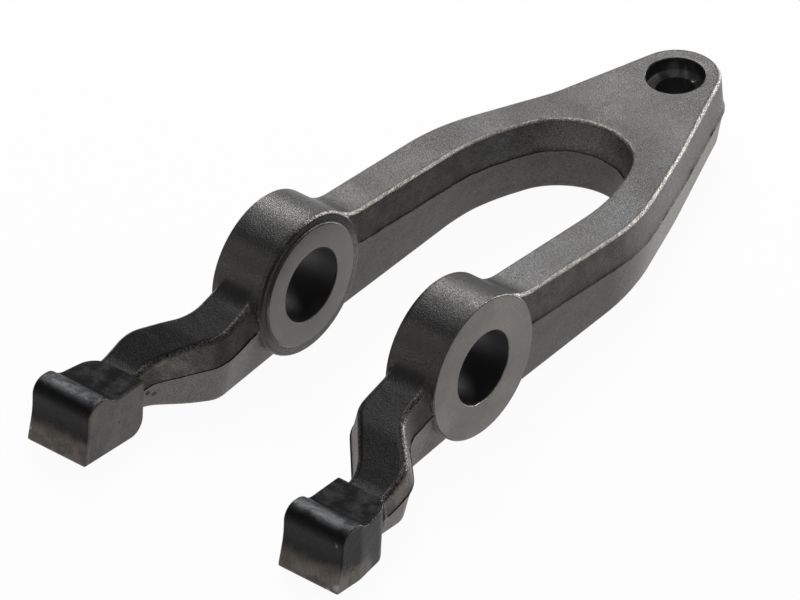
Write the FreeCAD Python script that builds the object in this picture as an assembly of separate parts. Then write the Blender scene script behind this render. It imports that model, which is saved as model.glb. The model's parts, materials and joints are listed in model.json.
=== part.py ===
import FreeCAD, Part
import math
import os
from FreeCAD import Vector

# Clutch release fork, a one-piece steel drop forging. Millimetres.
# The origin is on the pivot axis, midway between the two bosses: Y runs
# along the pivot axis, X towards the tail, Z up.

# pivot bosses
boreDia = 20.0
boreBreak = 0.4
bossDia = 39.4
bossSpan = 71.6          # across the two machined outer faces
faceGap = 38.8           # between the two inner spot faces
spotFaceDia = 33.8
bossInnerGap = 39.8      # between the as-forged inner boss walls, at the parting line
bossEdgeRound = 1.2
faceBreak = 0.4

# forging die
draftDeg = 7.0
armDraftDeg = 11.0
edgeRound = 1.4          # trimmed lips of the arms, web and tail
coreX = 2.0              # arms and bosses overlap this far past the pivot axis
lift = 40.0              # tool bodies reach this far past the forging

# rear arms and the web they run into
armOuterWidth = 68.8     # across the outer walls, at the parting line
armInnerWidth = 41.0     # between the inner walls, at the parting line
armTop = 11.7
partingHeight = 2.6
outerShoulderX = 65.6
outerShoulderRound = 65.0
innerShoulderX = 68.6
innerShoulderRound = 66.0
slotApexX = 93.2
slotApexRound = 16.3
bossBlendTop = 14.0
bossBlendBottom = 4.0
bottomAtBoss = -16.0
bottomAtWeb = -10.4
webStartX = 68.0
bottomAtTail = -4.8
webEndX = 95.0
webSag = 1.1             # the web's lower skin flattens before the tail
profileBend = 45.0

# tail
tailHoleX = 122.8
tailRound = 13.1         # radius of the tail end, at the parting line
tailRise = 0.125         # rise of the tail's skins per millimetre beyond the web
partingRise = 0.1        # rise of its parting line
tailBendX = 99.0
tailCupDia = 15.3
tailCupDepth = 4.6
tailHoleDia = 10.4
tailCupBreak = 0.4

# front arms: they step outwards to the toes
frontInner = 20.2
frontOuter = 35.5
frontTipInner = 32.9
frontTipOuter = 46.5
bendInnerX = -32.4
bendOuterX = -28.8
bendRunInner = 14.2
bendRunOuter = 10.9
bendRound = 9.0
frontEdgeRound = 2.2
frontSlopeX = -24.0      # upper skin: leaves the boss here, then falls in two slopes
frontSlopeTop = 1.6
frontKneeX = -36.0
frontKneeTop = -2.7
frontBlend = 8.0
frontSoleBoss = -18.5
frontSole = -21.8
frontSoleTip = -20.8
soleRound = 30.0
kneeRound = 20.0
toeRootRound = 12.0
armSink = 0.2            # the arm's skin runs in just under the toe's pad
armEndRun = 8.0          # and ends this far inside the toe
frontPartingSlope = 0.31
frontPartingHeight = -3.9
frontPartingX = -16.0

# toes: a pad with a raised rounded ridge along its front lip
toeReach = 72.8          # from the pivot axis to the tip
toeLength = 22.6
toeInner = 31.0
toeOuter = 49.8
toeTop = -9.3
toeValleyTop = -9.9      # the pad falls slightly towards the ridge
toeBottom = -24.6
toeRidgeTop = -7.5
toeRidgeRadius = 4.1
toeRidgeSet = 1.4        # the ridge stands this far behind the tip
toeRidgeFlat = 6.9
toeRidgeBack = 2.6
toeValleyRound = 4.0
toeWaist = 0.3           # the front is drawn in below the ridge
toeWaistRound = 25.0
toeTipRound = 0.8
toeHeelRound = 4.5
toeHeelSweep = 2.4       # the outer side draws in towards the heel
toeCornerRound = 6.0
toeSideRound = 10.0
toeSideStart = 9.0       # the outer side starts to draw in this far from the tip
toeEdgeRound = 1.0
toeInnerEdgeRound = 0.6

draft = math.tan(math.radians(draftDeg))
armDraft = math.tan(math.radians(armDraftDeg))
bossR = bossDia / 2
toeFrontX = -toeReach
toeRearX = toeLength - toeReach
tiny = 1e-6
leastRound = 0.05        # no rounding is drawn in to less than this


def flat(x, y):
    return Vector(x, y, 0)


def upright(x, z):
    return Vector(x, 0, z)


def insetCorners(corners, inset):
    """Move every side of a counter-clockwise polygon inwards by the inset."""
    n = len(corners)
    sides = []
    for i in range(n):
        ax, ay, ar = corners[i]
        bx, by, br = corners[(i + 1) % n]
        d = math.hypot(bx - ax, by - ay)
        ux, uy = (bx - ax) / d, (by - ay) / d
        sides.append((ax - uy * inset, ay + ux * inset, ux, uy))
    moved = []
    for i in range(n):
        px, py, pu, pv = sides[i - 1]
        qx, qy, qu, qv = sides[i]
        turn = pu * qv - pv * qu
        if abs(turn) < tiny:
            moved.append((qx, qy, 0.0))
            continue
        s = ((qx - px) * qv - (qy - py) * qu) / turn
        r = corners[i][2]
        if r > 0:
            r = max(r - inset if turn > 0 else r + inset, leastRound)
        moved.append((px + pu * s, py + pv * s, r))
    return moved


def rounded(corners, inset=0.0):
    """Start, middle, end, centre and turn of the rounding at each corner."""
    pts = insetCorners(corners, inset) if inset else list(corners)
    n = len(pts)
    out = []
    for i in range(n):
        x, y, r = pts[i]
        ax, ay, _ = pts[i - 1]
        bx, by, _ = pts[(i + 1) % n]
        la = math.hypot(ax - x, ay - y)
        lb = math.hypot(bx - x, by - y)
        ua = ((ax - x) / la, (ay - y) / la)
        ub = ((bx - x) / lb, (by - y) / lb)
        half = math.acos(max(-1, min(1, ua[0] * ub[0] + ua[1] * ub[1]))) / 2
        if r <= 0 or math.cos(half) < tiny:
            out.append(((x, y), None, (x, y), None, 0.0))
            continue
        t = r / math.tan(half)
        c = r / math.sin(half)
        bis = (ua[0] + ub[0], ua[1] + ub[1])
        lbis = math.hypot(*bis)
        bis = (bis[0] / lbis, bis[1] / lbis)
        turn = math.pi - 2 * half
        if ua[0] * ub[1] - ua[1] * ub[0] > 0:
            turn = -turn
        out.append(((x + ua[0] * t, y + ua[1] * t),
                    (x + bis[0] * (c - r), y + bis[1] * (c - r)),
                    (x + ub[0] * t, y + ub[1] * t),
                    (x + bis[0] * c, y + bis[1] * c), turn))
    return out


def roundedWire(corners, place, inset=0.0, shift=None):
    """Closed wire through the corners, each rounded by its own radius."""
    rounds = rounded(corners, inset)
    edges = []
    for i, (start, mid, end, centre, turn) in enumerate(rounds):
        if mid:
            edges.append(Part.Arc(place(*start), place(*mid), place(*end)).toShape())
        a, b = place(*end), place(*rounds[(i + 1) % len(rounds)][0])
        if a.distanceToPoint(b) > tiny:
            edges.append(Part.LineSegment(a, b).toShape())
    wire = Part.Wire(edges)
    if shift:
        wire.translate(shift)
    return wire


def closed(faces):
    """Sew faces into one solid that faces outwards."""
    shell = Part.Shell(faces)
    shell.sewShape()
    solid = Part.Solid(shell)
    if solid.Volume < 0:
        solid.reverse()
    return solid


def draftedBody(corners, height, taper, grow=False):
    """Plan outline at the parting height, drawn in by the draft above and below."""
    inset = lift * taper * (-1 if grow else 1)
    near, far = rounded(corners), rounded(corners, inset)
    n = len(corners)
    faces = []
    for way in (1, -1):
        z = height + way * lift
        for i in range(n):
            j = (i + 1) % n
            if near[i][1]:
                low = Vector(near[i][0][0], near[i][0][1], height)
                top = Vector(far[i][0][0], far[i][0][1], z)
                centre = Vector(near[i][3][0], near[i][3][1], 0)
                faces.append(Part.LineSegment(low, top).toShape().revolve(
                    centre, Vector(0, 0, 1), math.degrees(near[i][4])))
            a = Vector(near[i][2][0], near[i][2][1], height)
            b = Vector(near[j][0][0], near[j][0][1], height)
            if a.distanceToPoint(b) > tiny:
                c = Vector(far[j][0][0], far[j][0][1], z)
                d = Vector(far[i][2][0], far[i][2][1], z)
                faces.append(Part.Face(Part.makePolygon([a, b, c, d, a])))
        faces.append(Part.Face(roundedWire(corners, flat, inset, Vector(0, 0, z))))
    return closed(faces)


def sheared(shape, slope, x):
    """Set the shape up by the slope from x on, then turn its flat faces back into planes."""
    matrix = FreeCAD.Matrix()
    matrix.A31 = slope
    matrix.A34 = -slope * x
    moved = shape.transformGeometry(matrix)
    faces = []
    for face in moved.Faces:
        if len(face.Wires) == 1 and face.findPlane():
            edges = []
            for edge in face.OuterWire.OrderedEdges:
                a, b = edge.Vertexes[0].Point, edge.Vertexes[-1].Point
                if abs(edge.Length - a.distanceToPoint(b)) < tiny:
                    edge = Part.LineSegment(a, b).toShape()
                edges.append(edge)
            face = Part.Face(Part.Wire(edges))
        faces.append(face)
    return closed(faces)


def sideBody(corners, width):
    face = Part.Face(roundedWire(corners, upright, 0.0, Vector(0, -width, 0)))
    return face.extrude(Vector(0, 2 * width, 0))


def solidOf(shape):
    solids = sorted(shape.Solids, key=lambda s: s.Volume)
    return solids[-1]


def flatness(face):
    u0, u1, v0, v1 = face.ParameterRange
    return abs(face.normalAt((u0 + u1) / 2, (v0 + v1) / 2).z)


def roundLips(shape, radius, keep):
    """Round the edges between the upper or lower skin and the walls."""
    chosen = []
    for edge in shape.Edges:
        faces = shape.ancestorsOfType(edge, Part.Face)
        if len(faces) != 2 or not keep(edge):
            continue
        a, b = flatness(faces[0]), flatness(faces[1])
        if (a > 0.7) != (b > 0.7):
            chosen.append(edge)
    for r in (radius, radius * 0.8, radius * 0.6):
        try:
            done = shape.makeFillet(r, chosen)
            if done.isValid() and done.Volume > 0.8 * shape.Volume:
                return solidOf(done)
        except Exception:
            pass
    print("edges left sharp:", len(chosen))
    return shape


# ---- rear arms, web and tail ---------------------------------------------
halfOuter = armOuterWidth / 2
halfInner = armInnerWidth / 2


def noseX(shoulderX, half, centreX, radius):
    """Where flanks from the shoulder, tangent to the nose circle, meet on the axis."""
    run, rise = centreX - shoulderX, half
    dist = math.hypot(run, rise)
    angle = math.asin(radius / dist) if dist > radius else 0
    slope = math.atan2(rise, run) - angle
    return shoulderX + rise / math.tan(slope)


tipX = noseX(outerShoulderX, halfOuter, tailHoleX, tailRound)
outerPlan = [(coreX, -halfOuter, 0), (outerShoulderX, -halfOuter, outerShoulderRound),
             (tipX, 0, tailRound), (outerShoulderX, halfOuter, outerShoulderRound),
             (coreX, halfOuter, 0)]
apexCentre = slotApexX - slotApexRound
slotTipX = noseX(innerShoulderX, halfInner, apexCentre, slotApexRound)
slotPlan = [(-lift, -halfInner, 0), (innerShoulderX, -halfInner, innerShoulderRound),
            (slotTipX, 0, slotApexRound), (innerShoulderX, halfInner, innerShoulderRound),
            (-lift, halfInner, 0)]

plan = draftedBody(outerPlan, partingHeight, draft)

# the tail is set up from the plane of the arms
front = Part.makeBox(tailBendX + lift, 4 * lift, 4 * lift,
                     Vector(-lift, -2 * lift, -2 * lift))
tilt = FreeCAD.Matrix()
tilt.A31 = partingRise
tilt.A34 = -partingRise * tailBendX
plan = plan.common(front).fuse(plan.cut(front).transformGeometry(tilt)).removeSplitter()


def crownBlend(px, pz, qx, qz, radius):
    """Wedge that eases the boss crown into the straight skin from P to Q."""
    d = math.hypot(qx - px, qz - pz)
    ux, uz = (qx - px) / d, (qz - pz) / d
    nx, nz = -uz, ux
    if nx * px + nz * pz < 0:
        nx, nz = -nx, -nz
    level = nx * px + nz * pz + radius
    reach = math.sqrt(max((bossR + radius) ** 2 - level ** 2, 0.01))
    way = 1 if ux * px + uz * pz + ux * qx + uz * qz > 0 else -1
    cx, cz = nx * level + way * ux * reach, nz * level + way * uz * reach
    k = bossR / (bossR + radius)
    start = Vector(cx * k, 0, cz * k)
    end = Vector(cx - nx * radius, 0, cz - nz * radius)
    mx, mz = (start.x + end.x) / 2 - cx, (start.z + end.z) / 2 - cz
    m = radius / math.hypot(mx, mz)
    mid = Vector(cx + mx * m, 0, cz + mz * m)
    core = Vector(cx * k * 0.5, 0, cz * k * 0.5)
    under = Vector(end.x * 0.5, 0, end.z * 0.5)
    wire = Part.Wire([Part.Arc(start, mid, end).toShape(),
                      Part.LineSegment(end, under).toShape(),
                      Part.LineSegment(under, core).toShape(),
                      Part.LineSegment(core, start).toShape()])
    wire.translate(Vector(0, -2 * lift, 0))
    return Part.Face(wire).extrude(Vector(0, 4 * lift, 0))


def crown(y0, y1):
    return Part.makeCylinder(bossR, y1 - y0, Vector(0, y0, 0), Vector(0, 1, 0))


farX = tailHoleX + lift
bottomSlope = (bottomAtWeb - bottomAtBoss) / (webStartX - bossR)
bottomCore = bottomAtBoss - bottomSlope * (bossR - coreX)
side = [(coreX, bottomCore, 0),
        (webStartX, bottomAtWeb, profileBend),
        (webEndX, bottomAtWeb + webSag, profileBend),
        (tailHoleX, bottomAtTail, 0),
        (farX, bottomAtTail + tailRise * lift, 0),
        (farX, armTop + tailRise * (farX - tailBendX), 0),
        (tailBendX, armTop, profileBend),
        (coreX, armTop, 0)]
profile = sideBody(side, 2 * lift).fuse([
    crown(-2 * lift, 2 * lift),
    crownBlend(bossR, armTop, webStartX, armTop, bossBlendTop),
    crownBlend(bossR, bottomAtBoss, webStartX, bottomAtWeb, bossBlendBottom)])
body = plan.common(profile)
body = solidOf(body.cut(draftedBody(slotPlan, partingHeight, draft, True)).removeSplitter())
body = roundLips(body, edgeRound, lambda edge: edge.BoundBox.XMax > coreX + edgeRound)

# ---- one front arm, its boss and its toe, on the +Y side ------------------
frontPlan = [(toeRearX - armEndRun, frontTipInner, 0),
             (bendInnerX - bendRunInner, frontTipInner, bendRound),
             (bendInnerX, frontInner, bendRound),
             (-coreX, frontInner, 0),
             (-coreX, frontOuter, 0),
             (bendOuterX, frontOuter, bendRound),
             (bendOuterX - bendRunOuter, frontTipOuter, bendRound),
             (toeRearX - armEndRun, frontTipOuter, 0)]
arm = draftedBody(frontPlan, frontPartingHeight, armDraft)
arm = sheared(arm, frontPartingSlope, frontPartingX)
kneeSlope = (frontSlopeTop - frontKneeTop) / (frontSlopeX - frontKneeX)
topCore = frontSlopeTop - kneeSlope * (frontSlopeX + coreX)
armSide = [(toeFrontX, frontSoleTip, 0),
           (toeRearX, frontSoleTip, soleRound),
           (frontKneeX, frontSole, soleRound),
           (-coreX, frontSoleBoss, 0),
           (-coreX, topCore, 0),
           (frontKneeX, frontKneeTop, kneeRound),
           (toeRearX, toeTop - armSink, toeRootRound),
           (toeFrontX, toeTop - armSink, 0)]
armProfile = sideBody(armSide, 2 * lift).fuse(
    crownBlend(frontSlopeX, frontSlopeTop, frontKneeX, frontKneeTop, frontBlend))
arm = solidOf(arm.common(armProfile).removeSplitter())
arm = roundLips(arm, frontEdgeRound, lambda edge: edge.BoundBox.XMin < -coreX - edgeRound)

# boss: a turned shape with a spot-faced pad on its inner end
wallY, outY, padY = bossInnerGap / 2, bossSpan / 2, faceGap / 2
padR = spotFaceDia / 2
turned = [(0, padY, 0), (padR - faceBreak, padY, 0), (padR, padY + faceBreak, 0), (padR, wallY, 0),
          (bossR, wallY, bossEdgeRound), (bossR, outY - faceBreak, 0),
          (bossR - faceBreak, outY, 0), (0, outY, 0)]
half = Part.Face(roundedWire(turned, lambda r, y: Vector(r, y, 0)))
boss = half.revolve(Vector(0, 0, 0), Vector(0, 1, 0), 360)


# toe: its side view and its plan, cut to one another, with the side edges eased
ridgeX = toeFrontX + toeRidgeSet
waistZ = (toeBottom + toeRidgeTop) / 2
toeSide = [(toeFrontX, toeBottom, toeTipRound),
           (toeRearX, toeBottom, toeHeelRound),
           (toeRearX, toeTop, 0),
           (ridgeX + toeRidgeFlat + toeRidgeBack, toeValleyTop, toeValleyRound),
           (ridgeX + toeRidgeFlat, toeRidgeTop, toeRidgeRadius),
           (ridgeX, toeRidgeTop, toeRidgeRadius),
           (ridgeX + toeWaist, waistZ, toeWaistRound)]
footprint = [(toeFrontX - toeEdgeRound, toeInner, 0),
             (toeRearX, toeInner, 0),
             (toeRearX, toeOuter - toeHeelSweep, toeCornerRound),
             (toeFrontX + toeSideStart, toeOuter, toeSideRound),
             (toeFrontX - toeEdgeRound, toeOuter, 0)]
pad = Part.Face(roundedWire(footprint, flat, 0.0, Vector(0, 0, -lift)))
toe = solidOf(sideBody(toeSide, 2 * lift).common(pad.extrude(Vector(0, 0, 2 * lift))))


def normalOf(face):
    u0, u1, v0, v1 = face.ParameterRange
    return face.normalAt((u0 + u1) / 2, (v0 + v1) / 2)


def sideEdges(shape, inner):
    """Edges where the toe's inner or outer side meets the surfaces of its side view."""
    chosen = []
    for edge in shape.Edges:
        turns = [abs(normalOf(face).y) for face in shape.ancestorsOfType(edge, Part.Face)]
        onInner = edge.BoundBox.YMax < toeInner + toeEdgeRound
        if len(turns) == 2 and min(turns) < tiny < 0.02 < max(turns) and onInner == inner:
            if edge.BoundBox.XMin < toeRearX - toeCornerRound:
                chosen.append(edge)
    return chosen


def eased(shape, inner, radius):
    """Round the edges of one side, less where the full radius will not go."""
    for part in (1.0, 0.75, 0.5):
        try:
            done = shape.makeFillet(radius * part, sideEdges(shape, inner))
            if done.isValid() and abs(done.Volume / shape.Volume - 1) < 0.1:
                return solidOf(done)
        except Exception:
            pass
    print("a side of the toe is left sharp, inner:", inner)
    return shape


toe = eased(toe, True, toeInnerEdgeRound)
toe = eased(toe, False, toeEdgeRound)

flank = boss.fuse([arm, toe]).removeSplitter()
other = flank.mirror(Vector(0, 0, 0), Vector(0, 1, 0))
fork = body.fuse([flank, other]).removeSplitter()

# ---- machining --------------------------------------------------------------


def drilled(diameter, depth, edgeBreak, mouth, outward):
    """Tool that leaves a hole with a broken edge at its mouth."""
    radius = diameter / 2
    tool = Part.makeCylinder(radius, depth + lift, mouth - outward * depth, outward)
    if edgeBreak:
        tool = tool.fuse(Part.makeCone(radius, radius + 2 * edgeBreak, 2 * edgeBreak,
                                       mouth - outward * edgeBreak, outward))
    return tool


across = Vector(0, 1, 0)
fork = fork.cut(Part.makeCylinder(boreDia / 2, 2 * bossSpan, across * -bossSpan, across))
for wayOut in (across, -across):
    for facePlace, facing in ((outY, wayOut), (padY, -wayOut)):
        mouth = wayOut * facePlace
        fork = fork.cut(Part.makeCone(boreDia / 2, boreDia / 2 + 2 * boreBreak, 2 * boreBreak,
                                      mouth - facing * boreBreak, facing))
lean = math.atan(tailRise)
axis = Vector(-math.sin(lean), 0, math.cos(lean))
mouth = Vector(tailHoleX, 0, armTop + tailRise * (tailHoleX - tailBendX))
fork = fork.cut(drilled(tailCupDia, tailCupDepth, tailCupBreak, mouth, axis))
fork = solidOf(fork.cut(drilled(tailHoleDia, lift, 0, mouth, axis)))

print("valid:", fork.isValid(), "solids:", len(fork.Solids), "volume:", round(fork.Volume))
print("size:", fork.BoundBox)
os.makedirs("parts", exist_ok=True)
fork.exportStep("parts/clutch_fork.step")
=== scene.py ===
import bpy
import bmesh
import json
import math
from mathutils import Matrix, Vector


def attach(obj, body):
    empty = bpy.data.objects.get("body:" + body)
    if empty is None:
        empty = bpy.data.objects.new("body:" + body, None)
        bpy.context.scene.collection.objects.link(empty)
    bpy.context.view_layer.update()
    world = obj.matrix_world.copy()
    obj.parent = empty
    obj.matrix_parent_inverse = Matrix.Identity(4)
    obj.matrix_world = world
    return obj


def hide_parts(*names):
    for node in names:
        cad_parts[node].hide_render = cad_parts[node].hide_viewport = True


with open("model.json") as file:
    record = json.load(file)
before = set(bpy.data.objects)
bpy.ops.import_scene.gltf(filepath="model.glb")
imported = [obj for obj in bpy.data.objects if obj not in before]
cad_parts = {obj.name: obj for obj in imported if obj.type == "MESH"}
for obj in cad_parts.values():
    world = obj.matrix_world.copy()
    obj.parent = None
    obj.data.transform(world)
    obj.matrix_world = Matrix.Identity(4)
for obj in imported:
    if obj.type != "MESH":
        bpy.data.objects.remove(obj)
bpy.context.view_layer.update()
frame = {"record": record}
scene = bpy.context.scene
mm = 0.001
mounts = {mount["name"]: mount for mount in frame["record"]["mounts"]}


def deselectAll():
    if bpy.context.mode != "OBJECT":
        bpy.ops.object.mode_set(mode="OBJECT")
    bpy.ops.object.select_all(action="DESELECT")


def makeActive(piece):
    deselectAll()
    piece.select_set(True)
    bpy.context.view_layer.objects.active = piece


def applyModifier(piece, kind, **settings):
    makeActive(piece)
    modifier = piece.modifiers.new(kind.title(), kind)
    for name, value in settings.items():
        setattr(modifier, name, value)
    bpy.ops.object.modifier_apply(modifier=modifier.name)


# the trimmed flash line along the forging's parting
flash = {
    "halfWidth": 0.5 * mm,
    "proud": 0.32 * mm,          # how far it stands off the wall
    "wander": 0.55 * mm,         # how far it strays up and down
    "wanderScale": 3.5 * mm,
    "step": 1.6 * mm,            # longest straight run along the line
    "halvings": 6,               # of the mesh's edges, at most
    "weld": 0.002 * mm,
    "steepest": 0.35,            # a wall's normal leans less than this
    "leastLean": 0.04,           # but one of the two walls leans more than this
    "leastTurn": 0.0004,         # and their two leans multiply to more than this
    "level": 0.75,               # an edge rises less than this share of its length
    "frontEnd": -50 * mm,        # the toes' own sides carry no line
    "bossClear": 20.3 * mm,      # nor do the bosses
    "reach": 2.2 * mm,           # how far from the parting an edge may lie
    "rearZ": 2.6 * mm,           # the parting's height on the rear arms
    "tailX": 99 * mm,            # from where it climbs with the tail
    "tailClimb": 0.1,
    "frontX": -16 * mm,          # and from where it falls with the front arms
    "frontZ": -3.9 * mm,
    "frontFall": 0.31,
}


def partingHeight(x):
    if x < flash["frontX"]:
        return flash["frontZ"] + flash["frontFall"] * (x - flash["frontX"])
    return flash["rearZ"] + flash["tailClimb"] * max(0, x - flash["tailX"])


def partingEdges(mesh):
    # the edges where the upper and lower draft meet on a wall
    found = []
    for edge in mesh.edges:
        if len(edge.link_faces) != 2:
            continue
        first, second = [face.normal.z for face in edge.link_faces]
        isWall = max(abs(first), abs(second)) < flash["steepest"]
        turnsOver = first * second < -flash["leastTurn"] and max(first, second) > flash["leastLean"]
        lies = edge.verts[1].co - edge.verts[0].co
        isLevel = abs(lies.z) < flash["level"] * lies.length
        higher = max(edge.link_faces, key=lambda face: face.calc_center_median().z)
        middle = (edge.verts[0].co + edge.verts[1].co) / 2
        onArms = middle.x > flash["frontEnd"] and math.hypot(middle.x, middle.z) > flash["bossClear"]
        onParting = abs(middle.z - partingHeight(middle.x)) < flash["reach"]
        if isWall and turnsOver and isLevel and onArms and onParting and higher.normal.z > 0:
            found.append(edge)
    return found


def selectOnly(mesh, edges):
    bpy.ops.mesh.select_all(action="DESELECT")
    for edge in edges:
        edge.select_set(True)


def bevelParting(piece):
    # returns the numbers of the points along the middle of the bevel
    makeActive(piece)
    bpy.ops.object.mode_set(mode="EDIT")
    bpy.ops.mesh.select_mode(type="EDGE")
    bpy.ops.mesh.select_all(action="SELECT")
    bpy.ops.mesh.remove_doubles(threshold=flash["weld"])
    for halving in range(flash["halvings"]):
        mesh = bmesh.from_edit_mesh(piece.data)
        longOnes = [edge for edge in partingEdges(mesh) if edge.calc_length() > flash["step"]]
        if not longOnes:
            break
        selectOnly(mesh, longOnes)
        bmesh.update_edit_mesh(piece.data)
        bpy.ops.mesh.subdivide(number_cuts=1)
    mesh = bmesh.from_edit_mesh(piece.data)
    line = partingEdges(mesh)
    selectOnly(mesh, line)
    bmesh.update_edit_mesh(piece.data)
    lineLength = sum(edge.calc_length() for edge in line)
    print("flash line runs", round(lineLength / mm), "mm in", len(line), "edges")
    bpy.ops.mesh.bevel(offset=flash["halfWidth"], segments=2, affect="EDGES", clamp_overlap=True)
    mesh = bmesh.from_edit_mesh(piece.data)
    return {point.index for point in mesh.verts
            if point.select and all(face.select for face in point.link_faces)}


def raiseFlash(piece):
    ridge = bevelParting(piece)
    bpy.ops.mesh.select_mode(type="VERT")
    bpy.ops.mesh.select_all(action="DESELECT")
    mesh = bmesh.from_edit_mesh(piece.data)
    mesh.verts.ensure_lookup_table()
    for index in ridge:
        mesh.verts[index].select_set(True)
    bmesh.update_edit_mesh(piece.data)
    piece.vertex_groups.new(name="ridge")
    bpy.ops.object.vertex_group_assign()
    bpy.ops.object.mode_set(mode="OBJECT")
    tint = piece.data.color_attributes.new(name="flash", type="FLOAT_COLOR", domain="POINT")
    for index, point in enumerate(tint.data):
        onLine = 1 if index in ridge else 0
        point.color = (onLine, onLine, onLine, 1)
    rough = bpy.data.textures.new("raggedFlash", "CLOUDS")
    rough.noise_scale = flash["wanderScale"]
    applyModifier(piece, "DISPLACE", vertex_group="ridge", direction="NORMAL",
                  strength=flash["proud"], mid_level=0.0)
    applyModifier(piece, "DISPLACE", vertex_group="ridge", direction="Z", texture=rough,
                  texture_coords="LOCAL", strength=flash["wander"], mid_level=0.5)
    print("ridge points", len(ridge))


shading = {"sharpest": math.radians(34), "faceWeight": 60}


def makeForging():
    makeActive(bpy.data.objects["clutch_fork"])
    bpy.ops.object.duplicate()
    piece = bpy.context.view_layer.objects.active
    piece.name = "forgedBody"
    raiseFlash(piece)
    makeActive(piece)
    bpy.ops.object.shade_smooth_by_angle(angle=shading["sharpest"])
    applyModifier(piece, "WEIGHTED_NORMAL", keep_sharp=True, weight=shading["faceWeight"])
    return piece


class Wire:
    # one value on its way through a material; sums on it add Math nodes
    def __init__(self, paint, socket):
        self.paint = paint
        self.socket = socket

    def maths(self, operation, *values):
        return self.paint.node("Math", {"operation": operation}, dict(enumerate(values)))

    def __add__(self, other):
        return self.maths("ADD", self, other)

    def __radd__(self, other):
        return self.maths("ADD", other, self)

    def __sub__(self, other):
        return self.maths("SUBTRACT", self, other)

    def __rsub__(self, other):
        return self.maths("SUBTRACT", other, self)

    def __mul__(self, other):
        return self.maths("MULTIPLY", self, other)

    def __rmul__(self, other):
        return self.maths("MULTIPLY", other, self)

    def __abs__(self):
        return self.maths("ABSOLUTE", self)

    def atMost(self, other):
        return self.maths("MINIMUM", self, other)

    def atLeast(self, other):
        return self.maths("MAXIMUM", self, other)

    def root(self):
        return self.maths("SQRT", self)


class Paint:
    # a material made of nodes, with the coats of colour laid so far
    def __init__(self, name):
        self.material = bpy.data.materials.new(name)
        self.material.use_nodes = True
        self.tree = self.material.node_tree
        self.tree.nodes.clear()
        self.colour = None

    def node(self, kind, settings=None, inputs=None, out=0):
        made = self.tree.nodes.new("ShaderNode" + kind)
        for name, value in (settings or {}).items():
            setattr(made, name, value)
        for name, value in (inputs or {}).items():
            if isinstance(value, Wire):
                self.tree.links.new(value.socket, made.inputs[name])
            else:
                made.inputs[name].default_value = value
        return Wire(self, made.outputs[out])

    def parts(self, vector):
        separate = self.node("SeparateXYZ", None, {0: vector})
        return [Wire(self, output) for output in separate.socket.node.outputs]

    def vector(self, operation, first, second, out=0):
        return self.node("VectorMath", {"operation": operation}, {0: first, 1: second}, out)

    def rise(self, value, edges, start=0):
        # 0 below the first edge, 1 above the second, eased between
        return self.node("MapRange", {"interpolation_type": "SMOOTHSTEP"}, {
            "Value": value, "From Min": start + edges[0], "From Max": start + edges[1]})

    def fall(self, value, edges, start=0):
        return 1 - self.rise(value, edges, start)

    def noise(self, place, scale, detail, roughness):
        return self.node("TexNoise", None, {
            "Vector": place, "Scale": scale, "Detail": detail, "Roughness": roughness})

    def mixColour(self, factor, first, second):
        return self.node("Mix", {"data_type": "RGBA"}, {0: factor, 6: first, 7: second}, out=2)

    def coat(self, share, tone):
        self.colour = self.mixColour(share, self.colour, tone)

    def finish(self, shader):
        output = self.tree.nodes.new("ShaderNodeOutputMaterial")
        self.tree.links.new(shader.socket, output.inputs["Surface"])
        return self.material


def mixValue(factor, first, second):
    return first + (second - first) * factor


def spread(value, share):
    # the share's first number, and as much of its second as the value says
    return share[0] + value * share[1]


def grey(value, warmth=0.0):
    return (value * (1 + warmth), value, value * (1 - warmth), 1)


tones = {
    "skin": grey(0.180, 0.01),             # blasted forging skin
    "skinDark": grey(0.132, 0.03),
    "crownTop": grey(0.105, 0.02),
    "below": grey(0.068, 0.07),            # painted shade on walls that lean under the flash line
    "flankBelow": grey(0.30, 0.06),        # painted light on the outer walls towards the tail
    "flankAbove": grey(0.22, 0.06),
    "rust": grey(0.032, 0.14),             # scale left on the walls
    "brown": grey(0.20, 0.08),
    "line": grey(0.02, 0.06),              # trimmed flash, the dark of pits, and painted shade in the step round each spot face and in the rod hole
    "toe": (0.0115, 0.0115, 0.0125, 1),    # painted shade on the toes, front arms and crowns' fronts
    "pad": (0.004, 0.004, 0.0048, 1),
    "rubbed": (0.085, 0.090, 0.094, 1),    # painted highlight on the crests of the thrust ridges
    "ground": grey(0.13, 0.14),            # dressed band at the toe tips
    "dressed": grey(0.10, 0.04),           # inner sides of the toes
    "worn": grey(0.50, 0.09),              # lips worn bright and partly painted highlight, and painted highlight specks on the crowns
    "chip": grey(0.30, 0.02),              # fresh metal in a nick
    "turned": grey(0.21, 0.08),
    "turnedDark": grey(0.138, 0.05),
    "turnedGrain": grey(0.09, 0.04),
    "turnedLeft": grey(0.13, 0.04),
    "rim": grey(0.3),
    "padLine": grey(0.36),
    "bore": grey(0.15),
    "boreDark": grey(0.04),
    "socket": grey(0.10),
    "ledge": grey(0.22),
    "ledgeRubbed": grey(0.85),
}

pebble = 0.48       # millimetres across
ringPitch = 0.45    # of the turning marks, in millimetres
noiseMiddle = 0.5   # the level a noise wanders about

noises = {  # scale per millimetre, detail and roughness
    "patches": (0.045, 4.0, 0.6),
    "scale": (0.22, 5.0, 0.7),
    "grain": (1 / pebble, 2.0, 0.65),
    "fine": (2.3 / pebble, 1.0, 0.5),
    "ragged": (0.55, 3.0, 0.7),
    "waves": (0.16, 2.0, 0.5),
    "streaks": (1.0, 3.0, 0.7),
    "rings": (1 / ringPitch, 2.0, 0.6),
}


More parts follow.
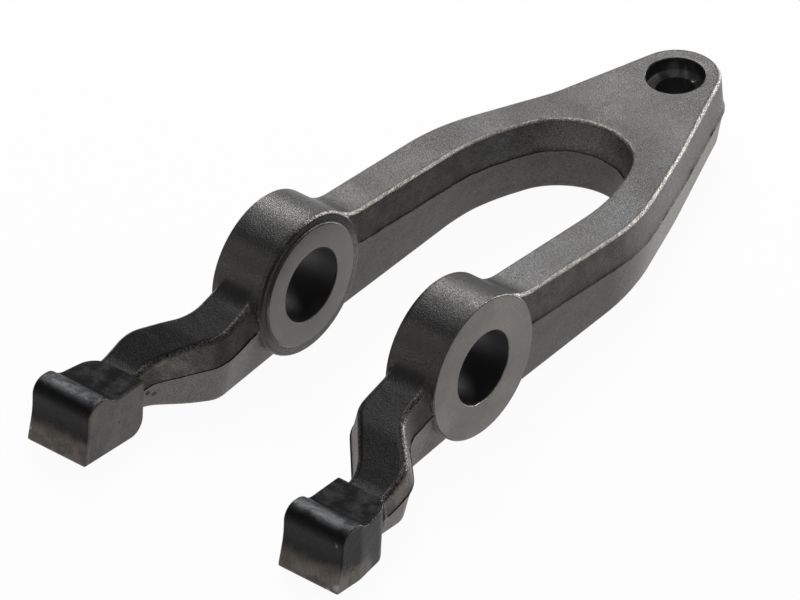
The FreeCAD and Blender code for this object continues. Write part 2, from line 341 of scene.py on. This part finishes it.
def startSteel():
    # the paint, with the places, leans and noises that the coats are laid by
    steel = Paint("forgedSteel")
    metres = steel.node("TexCoord", out=3)
    steel.place = steel.node("VectorMath", {"operation": "SCALE"}, {0: metres, 3: 1 / mm})
    steel.x, steel.y, steel.z = steel.parts(steel.place)
    steel.across, steel.up = steel.parts(steel.node("NewGeometry", out=1))[1:]
    steel.outward = steel.rise(steel.across * steel.y, walls["outward"])
    steel.flashHere = steel.node("Attribute", {"attribute_name": "flash"}, None, out=2)
    steel.patches, steel.scale, steel.grain, steel.fine, steel.ragged, steel.waves = [
        steel.noise(steel.place, *noises[name])
        for name in ("patches", "scale", "grain", "fine", "ragged", "waves")]
    return steel


# In the dictionaries below a pair of numbers is where a mark starts and where
# it is full, in millimetres, as a part of a unit normal, or as a noise's level.
# A share is how much of a tone is laid on, or that and how much more a noise adds.
machining = {
    "boreWall": (0.02, 0.12),         # from the bore's radius
    "rimIn": (0.02, 0.06),            # the broken edge of its mouths, likewise
    "rimOut": (0.36, 0.42),
    "rimEnd": (-0.1, 0.0),            # from the end of the bore's wall
    "outerFace": (0.3, 0.38),         # likewise
    "outerRadius": (19.2, 19.35),
    "spotY": 19.4,                    # the spot faces, from the middle plane
    "spotDepth": (0.03, 0.12),
    "spotRadius": 16.9,
    "spotEdge": (-0.45, -0.35),       # from that radius
    "cupWall": (0.45, 0.5),           # from the cup's radius
    "cupFloor": (-0.3, -0.1),         # from the lower end of its wall
    "holeWall": (0.02, 0.1),          # from the hole's radius
    "ledge": (0.5, 1.1),              # from the lower end of the cup's wall
}


def fromMount(steel, name):
    # how far a point is from a hole's axis, and how far along it
    mount = mounts[name]
    axis = Vector(mount["axis"]).normalized()
    off = steel.vector("SUBTRACT", steel.place, Vector(mount["pos_m"]) / mm)
    crossed = steel.vector("CROSS_PRODUCT", off, axis)
    away = steel.node("VectorMath", {"operation": "LENGTH"}, {0: crossed}, out=1)
    return {"away": away, "along": steel.vector("DOT_PRODUCT", off, axis, out=1),
            "radius": mount["dims"]["r_mm"], "half": mount["dims"]["length_mm"] / 2}


def findMachining(steel):
    bore, cup, hole = [fromMount(steel, name) for name in ("pivot_bore", "rod_cup", "rod_hole")]
    steel.away = bore["away"]
    deep = abs(steel.y)
    steel.inBore = steel.fall(steel.away, machining["boreWall"], bore["radius"])
    onOuter = steel.rise(deep, machining["outerFace"], bore["half"])
    onOuter = onOuter * steel.fall(steel.away, machining["outerRadius"])
    nearSpot = steel.fall(abs(deep - machining["spotY"]), machining["spotDepth"])
    onInner = nearSpot * steel.fall(steel.away, machining["spotEdge"], machining["spotRadius"])
    steel.turned = (onOuter + onInner).atMost(1) * (1 - steel.inBore)
    inCup = steel.fall(cup["away"], machining["cupWall"], cup["radius"])
    inCup = inCup * steel.rise(cup["along"], machining["cupFloor"], -cup["half"])
    steel.inHole = steel.fall(hole["away"], machining["holeWall"], hole["radius"])
    steel.inTail = inCup.atLeast(steel.inHole)
    steel.ledge = inCup * (1 - steel.inHole) * steel.fall(cup["along"], machining["ledge"], -cup["half"])
    steel.cut = (steel.turned + steel.inBore + steel.inTail).atMost(1)
    atMouth = steel.rise(deep, machining["rimEnd"], bore["half"]).atLeast(nearSpot)
    steel.rim = steel.rise(steel.away, machining["rimIn"], bore["radius"]) * atMouth
    steel.rim = steel.rim * steel.fall(steel.away, machining["rimOut"], bore["radius"])


walls = {
    "patchy": (0.38, 0.66),
    "upright": (0.3, 0.6),
    "below": (0.02, 0.08),            # walls that lean under the flash line
    "belowEnd": (0.5, 0.8),
    "above": (0.02, 0.07),            # and those that lean over it
    "aboveEnd": (0.3, 0.5),
    "scaled": (0.42, 0.62),
    "scaledShare": 0.35,
    "rustX": (45, 85),
    "rustShare": (0.35, 0.7),
    "crescentIn": (0.0, 0.1),         # painted shade on the step round each spot face
    "crescentOut": (19.4, 20.0),
    "crescentDeep": (21.2, 21.6),
    "crescentLean": 0.6,
    "crescentSide": (-9, 6),
    "crescentShare": 0.85,
    "belowShare": 0.7,
    "outward": (0.5, 3.0),            # a wall's sideways lean times its distance from the middle
    "flankX": (52, 86),               # painted light on the outer walls towards the tail
    "flankBelowShare": 0.8,
    "flankAboveShare": 0.45,
    "crotchX": (78, 90),              # painted light on the upper wall of the slot's round end
    "crotchEnd": (94, 98),
    "crotchShare": 0.4,
}


def paintWalls(steel):
    lean = abs(steel.up)
    steel.upright = steel.fall(lean, walls["upright"])
    steel.below = steel.rise(0 - steel.up, walls["below"]) * steel.fall(lean, walls["belowEnd"])
    steel.above = steel.rise(steel.up, walls["above"]) * steel.fall(steel.up, walls["aboveEnd"])
    patchy = steel.rise(steel.patches, walls["patchy"])
    steel.colour = steel.mixColour(patchy, tones["skinDark"], tones["skin"])
    scaled = steel.upright * steel.rise(steel.scale, walls["scaled"])
    steel.coat(scaled * walls["scaledShare"], tones["rust"])
    rusted = steel.above * steel.fall(steel.x, walls["rustX"])
    steel.coat(rusted * spread(steel.scale, walls["rustShare"]), tones["rust"])
    # painted shade: the step round each spot face, upper side only
    crescent = steel.rise(steel.away, walls["crescentIn"], machining["spotRadius"])
    crescent = crescent * steel.fall(steel.away, walls["crescentOut"])
    crescent = crescent * steel.fall(abs(steel.y), walls["crescentDeep"])
    crescent = crescent * steel.rise(steel.z - steel.x * walls["crescentLean"], walls["crescentSide"])
    steel.coat(crescent * walls["crescentShare"], tones["line"])
    # painted shade: walls that face downward are darkened
    steel.coat(steel.below * walls["belowShare"], tones["below"])
    # painted light on the outer walls towards the tail, above and below the flash line
    flank = steel.outward * steel.rise(steel.x, walls["flankX"])
    steel.coat(steel.below * flank * walls["flankBelowShare"], tones["flankBelow"])
    steel.coat(steel.above * flank * walls["flankAboveShare"], tones["flankAbove"])
    crotch = steel.above * steel.rise(steel.x, walls["crotchX"]) * steel.fall(steel.x, walls["crotchEnd"])
    # painted light on the slot end's upper wall
    steel.coat(crotch * walls["crotchShare"], tones["brown"])


toes = {
    "toneX": (-26, -12),              # painted shade on the front arms starts here
    "toneShare": 0.97,
    "wallShare": 0.72,                # so much less of it on the arms' walls
    "blockX": (-50.9, -50.4),
    "upperX": (-40, -22),             # brown scale on the arms' upper walls
    "upperScale": (0.38, 0.62),
    "upperShare": (0.32, 0.5),
    "lowerX": (-26, -16),             # and on their lower ones
    "lowerShare": (0.3, 0.5),
    "padUp": (0.8, 0.95),             # painted shade on the flat pads behind the thrust ridges
    "padZ": (-9.4, -8.8),
    "padScale": (0.35, 0.65),
    "padShare": (0.4, 0.6),
}


def paintFront(steel):
    steel.toToe = steel.fall(steel.x, toes["toneX"])
    steel.block = steel.fall(steel.x, toes["blockX"])
    onArm = 1 - steel.block
    onWalls = 1 - steel.upright * toes["wallShare"] * onArm
    # painted shade over the toes and front arms
    steel.coat(steel.toToe * toes["toneShare"] * onWalls, tones["toe"])
    upper = steel.above * steel.fall(steel.x, toes["upperX"]) * onArm
    mottle = steel.rise(steel.scale, toes["upperScale"])
    steel.coat(upper * spread(mottle, toes["upperShare"]), tones["brown"])
    lower = steel.below * steel.fall(steel.x, toes["lowerX"]) * onArm
    steel.coat(lower * spread(steel.scale, toes["lowerShare"]), tones["brown"])
    steel.pad = steel.block * steel.rise(steel.up, toes["padUp"]) * steel.fall(steel.z, toes["padZ"])
    mottle = steel.rise(steel.scale, toes["padScale"])
    # painted shade: the flat pads darkened
    steel.coat(steel.pad * spread(mottle, toes["padShare"]), tones["pad"])


crowns = {
    "radius": (21.2, 22.6),
    "z": (-3, 3),
    "across": (0.4, 0.7),             # the bosses' own sides are left out
    "scorchedX": (-15.5, -12),        # painted shade over the front
    "scorchedEnd": (-5, 1),
    "scorchedShare": 0.62,
    "sparkleX": (-7, -3),             # painted highlight specks just behind
    "sparkleEnd": (1, 6),
    "sparkleFine": (0.56, 0.66),
    "sparkleShare": 0.45,
    "topX": (-4, 3),
    "topShare": 0.7,
    "brownX": (-20, -17.5),           # brown scale where the front arms leave
    "brownEnd": (-15.5, -12.5),
    "brownCoarse": 0.5,               # how much of its speckle is the coarser grain
    "brownGrain": (0.42, 0.58),
    "brownShare": (0.12, 0.88),
}


def paintCrowns(steel):
    steel.crown = steel.fall(steel.away, crowns["radius"]) * steel.rise(steel.z, crowns["z"])
    steel.crown = steel.crown * steel.fall(abs(steel.across), crowns["across"])
    crownShade = steel.rise(steel.x, crowns["scorchedX"]) * steel.fall(steel.x, crowns["scorchedEnd"])
    # painted shade over the crowns' fronts
    steel.coat(steel.crown * crownShade * crowns["scorchedShare"], tones["toe"])
    sparkle = steel.rise(steel.x, crowns["sparkleX"]) * steel.fall(steel.x, crowns["sparkleEnd"])
    sparkle = sparkle * steel.rise(steel.fine, crowns["sparkleFine"])
    # painted highlight: bright specks on the crowns
    steel.coat(steel.crown * sparkle * crowns["sparkleShare"], tones["worn"])
    # painted shade that tones down the crowns' tops
    steel.coat(steel.crown * steel.rise(steel.x, crowns["topX"]) * crowns["topShare"], tones["crownTop"])
    browned = steel.rise(steel.x, crowns["brownX"]) * steel.fall(steel.x, crowns["brownEnd"])
    speckle = mixValue(crowns["brownCoarse"], steel.fine, steel.grain)
    speckle = steel.rise(speckle, crowns["brownGrain"])
    steel.coat(steel.crown * browned * spread(speckle, crowns["brownShare"]), tones["brown"])


pores = {"grain": (0.35, 0.65), "share": 0.34}


def paintPores(steel):
    # dark between the pebbles, on all that isn't dressed or cut later
    steel.coat(steel.rise(steel.grain, pores["grain"]) * pores["share"], tones["line"])


tips = {  # the dressed band low on the toe tips
    "streakSize": (0.4, 3.2, 0.35),   # short upright scratches
    "frontX": (-70.9, -70.5),
    "frontZ": (-21.2, -16.8),
    "frontWander": 5,
    "streakWander": 2,
    "outerY": (48.4, 49.3),
    "outerZ": (-21.5, -18),
    "outerWander": 9,
    "share": 0.4,
    "streaky": (0.3, 0.7),
    "streakyShare": 0.25,
    "patchy": (0.4, 0.6),
    "patchyShare": 0.35,
}


def paintTips(steel):
    streakPlace = steel.vector("MULTIPLY", steel.place, tips["streakSize"])
    steel.streaks = steel.noise(streakPlace, *noises["streaks"])
    patchy, scaled, streaky = [wire - noiseMiddle for wire in (steel.patches, steel.scale, steel.streaks)]
    wavy = steel.z + (patchy + scaled) * tips["frontWander"] + streaky * tips["streakWander"]
    steel.band = steel.fall(steel.x, tips["frontX"]) * steel.fall(wavy, tips["frontZ"])
    tone = steel.rise(steel.streaks, tips["streaky"]) * tips["streakyShare"]
    tone = tips["share"] + tone + steel.rise(steel.scale, tips["patchy"]) * tips["patchyShare"]
    steel.coat(steel.band * tone, tones["ground"])
    outer = steel.rise(abs(steel.y), tips["outerY"]) * steel.block
    wavy = steel.z + (patchy + scaled) * tips["outerWander"]
    steel.coat(outer * steel.fall(wavy, tips["outerZ"]) * tone, tones["ground"])


toeSides = {
    "sideY": 31.0,                    # the dressed inner sides
    "sideDepth": (0.15, 0.5),
    "sideX": (-50.6, -50.3),
    "sideShare": 0.3,
    "sideSlope": 0.5,
    "sideFade": (-83, -75),
    "sideFadeShare": 0.45,
    "sideScale": (0.4, 0.6),
    "sideScaleShare": 0.25,
    "crestZ": (-8.9, -7.7),           # the thrust ridges, with a painted highlight along their crests
    "crestX": (-62.5, -61.0),
    "crestScale": (0.35, 0.6),
    "crestShare": 0.8,
}


def paintToeSides(steel):
    side = steel.fall(abs(abs(steel.y) - toeSides["sideY"]), toeSides["sideDepth"])
    side = side * steel.fall(steel.x, toeSides["sideX"])
    # painted shade: the inner sides darker towards the ridge end
    fade = steel.rise(steel.x + steel.z * toeSides["sideSlope"], toeSides["sideFade"])
    tone = toeSides["sideShare"] + fade * toeSides["sideFadeShare"]
    tone = tone + steel.rise(steel.scale, toeSides["sideScale"]) * toeSides["sideScaleShare"]
    steel.coat(side * tone, tones["dressed"])
    crest = steel.rise(steel.z, toeSides["crestZ"]) * steel.fall(steel.x, toeSides["crestX"])
    crest = crest * steel.rise(steel.scale, toeSides["crestScale"])
    # painted highlight along the ridge crests
    steel.coat(crest * toeSides["crestShare"], tones["rubbed"])


trim = {  # the tone of the flash line
    "here": (0.25, 0.7),
    "ragged": (0.30, 0.52),
    "outerX": (18, 40),
    "share": 0.85,
    "lessOnToes": 0.5,
    "lessOutside": 0.75,
}


def paintFlash(steel):
    steel.line = steel.rise(steel.flashHere, trim["here"]) * steel.rise(steel.ragged, trim["ragged"])
    outside = steel.outward * steel.rise(steel.x, trim["outerX"])
    share = (trim["share"] - steel.toToe * trim["lessOnToes"]) * (1 - outside * trim["lessOutside"])
    steel.coat(steel.line * share, tones["line"])


faces = {
    "ringsPerY": 0.2,                 # how fast the turning marks change along the bore
    "ringShare": 0.3,
    "patchShare": 0.7,
    "patchy": (0.35, 0.65),
    "grainy": (0.3, 0.7),
    "grainShare": 0.3,
    "leftY": (-5, 5),                 # the left boss's faces are painted darker
    "leftShare": 0.5,
    "boreZ": (-7, 3),                 # painted shade low in the bore, and a painted reflection higher up
    "rubAcross": 0.79,                # a painted glint lights one side of the cup's ledge
    "rubAlong": 0.61,
    "rubbed": (2.5, 6.0),
    "holeShare": 0.4,
    "rimShare": 0.5,
    "lineIn": (-0.5, -0.3),           # a painted highlight line round each spot face, on one side
    "lineOut": (0.05, 0.25),
    "lineY": 19.5,
    "lineDepth": (0.3, 0.6),
    "lineLean": 0.7,
    "lineSide": (-7, 3),
    "lineShare": 0.55,
}


def paintFaces(steel):
    ringPlace = steel.node("CombineXYZ", None, {
        0: mixValue(steel.inTail, steel.away, steel.z), 2: steel.y * faces["ringsPerY"] * (1 - steel.inTail)})
    steel.rings = steel.noise(ringPlace, *noises["rings"])
    patchy = steel.rings * faces["ringShare"] + steel.patches * faces["patchShare"]
    tone = steel.mixColour(steel.rise(patchy, faces["patchy"]), tones["turnedDark"], tones["turned"])
    grainy = steel.rise(steel.grain, faces["grainy"]) * faces["grainShare"]
    tone = steel.mixColour(grainy, tone, tones["turnedGrain"])
    left = steel.rise(steel.y, faces["leftY"]) * faces["leftShare"]
    steel.coat(steel.turned, steel.mixColour(left, tone, tones["turnedLeft"]))
    # painted shade low in the bore and a painted reflection above
    boreTone = steel.mixColour(steel.rise(steel.z, faces["boreZ"]), tones["boreDark"], tones["bore"])
    steel.coat(steel.inBore, boreTone)
    steel.coat(steel.inTail, tones["socket"])
    # painted highlight: the cup's ledge lighter, with a brighter glint on one side
    steel.coat(steel.ledge, tones["ledge"])
    cupX = mounts["rod_cup"]["pos_m"][0] / mm
    sideways = steel.y * faces["rubAcross"] - (steel.x - cupX) * faces["rubAlong"]
    steel.coat(steel.ledge * steel.rise(sideways, faces["rubbed"]), tones["ledgeRubbed"])
    # painted shade inside the rod hole
    steel.coat(steel.inHole * faces["holeShare"], tones["line"])
    # painted highlight: a bright glint line round the bore mouths
    steel.coat(steel.rim * faces["rimShare"], tones["rim"])
    spotR = machining["spotRadius"]
    ring = steel.rise(steel.away, faces["lineIn"], spotR) * steel.fall(steel.away, faces["lineOut"], spotR)
    ring = ring * steel.fall(abs(abs(steel.y) - faces["lineY"]), faces["lineDepth"])
    ring = ring * steel.rise(steel.x - steel.z * faces["lineLean"], faces["lineSide"])
    # painted highlight along one side of each spot face's edge
    steel.coat(ring * faces["lineShare"], tones["padLine"])


lips = {  # worn bright and painted highlight, where the skins turn over into the walls
    "allRoundX": (14, 22),            # forward of this, only lips that face sideways
    "up": (0.28, 0.5),
    "upEnd": (0.86, 0.975),
    "sideways": (0.22, 0.45),
    "offFlash": (0.02, 0.1),
    "fineShare": 0.4,
    "grainShare": 0.6,
    "speckle": (0.42, 0.56),
    "padRadius": (17.6, 17.9),        # none round the spot faces
    "padY": 19.6,
    "padDepth": (1.0, 1.3),
    "crownX": (-8, 0),                # and few on the crowns' fronts
    "crownRadius": (20.6, 22.0),
    "crownShare": 0.85,
    "lessOnBlocks": 0.6,
    "lessOnToes": 0.68,
    "ragged": (0.35, 0.6),
    "share": (0.55, 0.45),
}


def paintLips(steel):
    allRound = (1 - steel.up * steel.up).atLeast(0).root()
    sideways = mixValue(steel.rise(steel.x, lips["allRoundX"]), abs(steel.across), allRound)
    lip = steel.rise(steel.up, lips["up"]) * steel.fall(steel.up, lips["upEnd"])
    lip = lip * steel.rise(sideways, lips["sideways"]) * (1 - steel.cut)
    speckle = steel.fine * lips["fineShare"] + steel.grain * lips["grainShare"]
    lip = lip * steel.fall(steel.flashHere, lips["offFlash"]) * steel.rise(speckle, lips["speckle"])
    atPad = steel.fall(steel.away, lips["padRadius"])
    atPad = atPad * steel.fall(abs(abs(steel.y) - lips["padY"]), lips["padDepth"])
    atCrown = steel.fall(steel.x, lips["crownX"]) * steel.fall(steel.away, lips["crownRadius"])
    lip = lip * (1 - atPad.atLeast(atCrown * lips["crownShare"]))
    steel.lip = lip * (1 - steel.block * lips["lessOnBlocks"])
    share = spread(steel.rise(steel.ragged, lips["ragged"]), lips["share"])
    # partly wear and partly a painted highlight on the lips
    steel.coat(steel.lip * (1 - steel.toToe * lips["lessOnToes"]) * share, tones["worn"])


marks = {
    "softness": 0.35,                 # the share of a mark's radius that is full
    "dentShare": 0.75,
    "chipShare": 0.8,
    "dents": [  # place and radius, in millimetres
        ((-59.8, 31.0, -17.0), 0.45),
        ((-71.4, 33.2, -10.6), 0.50),
        ((-71.2, 31.4, -8.2), 0.45),
        ((-71.3, -47.4, -11.2), 0.60),
        ((-67.2, -49.6, -19.6), 0.90),
        ((-69.4, -49.7, -17.6), 0.60),
        ((43.9, 20.4, -3.5), 0.55),
        ((-46.8, 33.2, -15.4), 1.00),
        ((-44.8, 32.7, -16.2), 1.00),
    ],
    "chips": [
        ((-71.6, -47.6, -11.4), 0.75),
        ((-72.5, -49.2, -22.6), 1.30),
        ((-72.4, -47.0, -24.2), 1.00),
        ((-72.5, 49.3, -21.0), 0.90),
    ],
}


def spots(steel, wobble, places):
    # 1 inside small ragged round marks
    total = 0.0
    for centre, radius in places:
        off = steel.vector("DISTANCE", steel.place, centre, out=1) + (wobble - noiseMiddle) * radius
        total = total + steel.fall(off, (radius * marks["softness"], radius))
    return total.atMost(1)


def paintMarks(steel):
    steel.dent = spots(steel, steel.fine, marks["dents"])
    steel.coat(spots(steel, steel.grain, marks["chips"]) * marks["chipShare"], tones["chip"])
    steel.coat(steel.dent * marks["dentShare"], tones["line"])


relief = {  # heights in millimetres
    "pebbleDepth": 0.26,
    "grainShare": 0.7,
    "fineShare": 0.3,
    "lessOnToes": 0.45,
    "lessOnCrowns": 0.2,
    "waves": 0.25,
    "line": 0.08,
    "dent": 0.35,
    "streaks": 0.08,
    "rings": 0.010,
    "turnedGrain": 0.02,
    "strength": 0.9,
}


def makeBump(steel):
    pebbled = steel.grain * relief["grainShare"] + steel.fine * relief["fineShare"]
    kept = 1 - steel.toToe * relief["lessOnToes"] - steel.crown * relief["lessOnCrowns"]
    skin = pebbled * relief["pebbleDepth"] * kept + steel.waves * relief["waves"]
    skin = skin - steel.line * relief["line"] - steel.dent * relief["dent"]
    skin = skin + steel.streaks * steel.band * relief["streaks"]
    cut = steel.rings * relief["rings"] + steel.grain * relief["turnedGrain"] * steel.turned
    return steel.node("Bump", None, {
        "Strength": relief["strength"], "Distance": mm, "Height": mixValue(steel.cut, skin, cut)})


gloss = {  # roughnesses, and what adds to them or takes from them
    "metallic": 0.85,
    "skin": 0.31,
    "grain": 0.26,
    "line": 0.2,
    "lip": 0.08,
    "crown": 0.03,
    "padScale": (0.38, 0.62),
    "pad": (0.06, 0.2),
    "cut": 0.36,
    "rings": 0.08,
    "bore": 0.14,
    "tail": 0.10,
    "hole": 0.3,
}


def makeRoughness(steel):
    skin = gloss["skin"] + steel.grain * gloss["grain"] + steel.line * gloss["line"]
    skin = skin - steel.lip * gloss["lip"] - steel.crown * gloss["crown"]
    skin = skin + steel.pad * spread(steel.rise(steel.scale, gloss["padScale"]), gloss["pad"])
    cut = gloss["cut"] + steel.rings * gloss["rings"] + steel.inBore * gloss["bore"]
    cut = cut - steel.inTail * gloss["tail"] + steel.inHole * gloss["hole"]
    return mixValue(steel.cut, skin, cut)


def forgedSteel():
    # each coat lies over the last one's
    steel = startSteel()
    findMachining(steel)
    for layCoat in (paintWalls, paintFront, paintCrowns, paintPores, paintTips, paintToeSides,
                    paintFlash, paintFaces, paintLips, paintMarks):
        layCoat(steel)
    shader = steel.node("BsdfPrincipled", None, {
        "Base Color": steel.colour, "Metallic": gloss["metallic"],
        "Roughness": makeRoughness(steel), "Normal": makeBump(steel)})
    print("steel painted,", len(steel.tree.nodes), "nodes")
    return steel.finish(shader)


studio = {
    "floorTilt": math.radians(5.0),   # the fork stands on its heels and boss bottoms
    "heelX": -55 * mm,
    "heelZ": -24.6 * mm,
    "floorGap": 0.05 * mm,
    "floorSize": 6.0,
    "floorTone": grey(0.94),
    "floorGlow": 0.95,
    "roomLevel": 0.17,
}

lamps = {  # place, size and power
    "overhead": ((0.15, 0.1, 1.3), (0.9, 0.9), 5),
    "window": ((0.60, 0.62, 0.95), (0.5, 0.4), 6.5),
    "low": ((1.25, -0.28, 0.33), (0.5, 0.3), 7),
}
lampAim = Vector((0.03, 0, 0))

view = {
    "heading": math.radians(37.467),  # from +X towards +Y
    "elevation": math.radians(32.999),
    "roll": math.radians(2.978),
    "aim": Vector((9.83, -1.12, 0)) * mm,
    "distance": 2.1135,
    "lens": 380.8,
    "sensor": 36,
    "farthest": 20,
}


def makeFloor():
    deselectAll()
    tilt = studio["floorTilt"]
    bpy.ops.mesh.primitive_plane_add(size=studio["floorSize"])
    floor = bpy.context.view_layer.objects.active
    floor.name = "floor"
    floor.rotation_euler = (0, -tilt, 0)
    floor.location = (0, 0, studio["heelZ"] - studio["heelX"] * math.tan(tilt) - studio["floorGap"])
    paint = Paint("paleFloor")
    white = paint.node("BsdfDiffuse", None, {"Color": studio["floorTone"]})
    glow = paint.node("Emission", None, {"Color": grey(1.0), "Strength": 1.0})
    path = paint.node("LightPath").socket.node
    seen = Wire(paint, path.outputs["Is Camera Ray"])
    for kind in ("Is Glossy Ray", "Is Transmission Ray"):
        seen = seen + Wire(paint, path.outputs[kind])
    seen = seen.atMost(1) * studio["floorGlow"]
    floor.data.materials.append(paint.finish(paint.node("MixShader", None, {0: seen, 1: white, 2: glow})))


def makeWorld():
    world = bpy.data.worlds.new("paleRoom")
    world.use_nodes = True
    background = world.node_tree.nodes["Background"]
    background.inputs["Color"].default_value = grey(1.0)
    background.inputs["Strength"].default_value = studio["roomLevel"]
    scene.world = world


def makeLamps():
    for name, (place, size, power) in lamps.items():
        lamp = bpy.data.lights.new(name, "AREA")
        lamp.shape = "RECTANGLE"
        lamp.size, lamp.size_y = size
        lamp.energy = power
        holder = bpy.data.objects.new(name, lamp)
        scene.collection.objects.link(holder)
        holder.location = place
        holder.rotation_euler = (lampAim - Vector(place)).to_track_quat("-Z", "Y").to_euler()


def makeCamera():
    heading, elevation, roll = view["heading"], view["elevation"], view["roll"]
    forward = Vector((math.cos(heading) * math.cos(elevation),
                      math.sin(heading) * math.cos(elevation), -math.sin(elevation)))
    level = forward.cross(Vector((0, 0, 1))).normalized()
    above = level.cross(forward)
    right = level * math.cos(roll) + above * math.sin(roll)
    up = above * math.cos(roll) - level * math.sin(roll)
    turn = Matrix((right, up, -forward)).transposed().to_4x4()
    camera = bpy.data.objects.new("camera", bpy.data.cameras.new("camera"))
    camera.data.lens = view["lens"]
    camera.data.sensor_width = view["sensor"]
    camera.data.clip_end = view["farthest"]
    camera.matrix_world = Matrix.Translation(view["aim"] - forward * view["distance"]) @ turn
    scene.collection.objects.link(camera)
    scene.camera = camera


forging = makeForging()
forging.data.materials.clear()
forging.data.materials.append(forgedSteel())
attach(forging, "root")
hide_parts("clutch_fork")
print("forging done,", len(forging.data.polygons), "faces")

makeFloor()
makeWorld()
makeLamps()
makeCamera()
scene.view_settings.view_transform = "Standard"
print("floor, lamps and camera done")
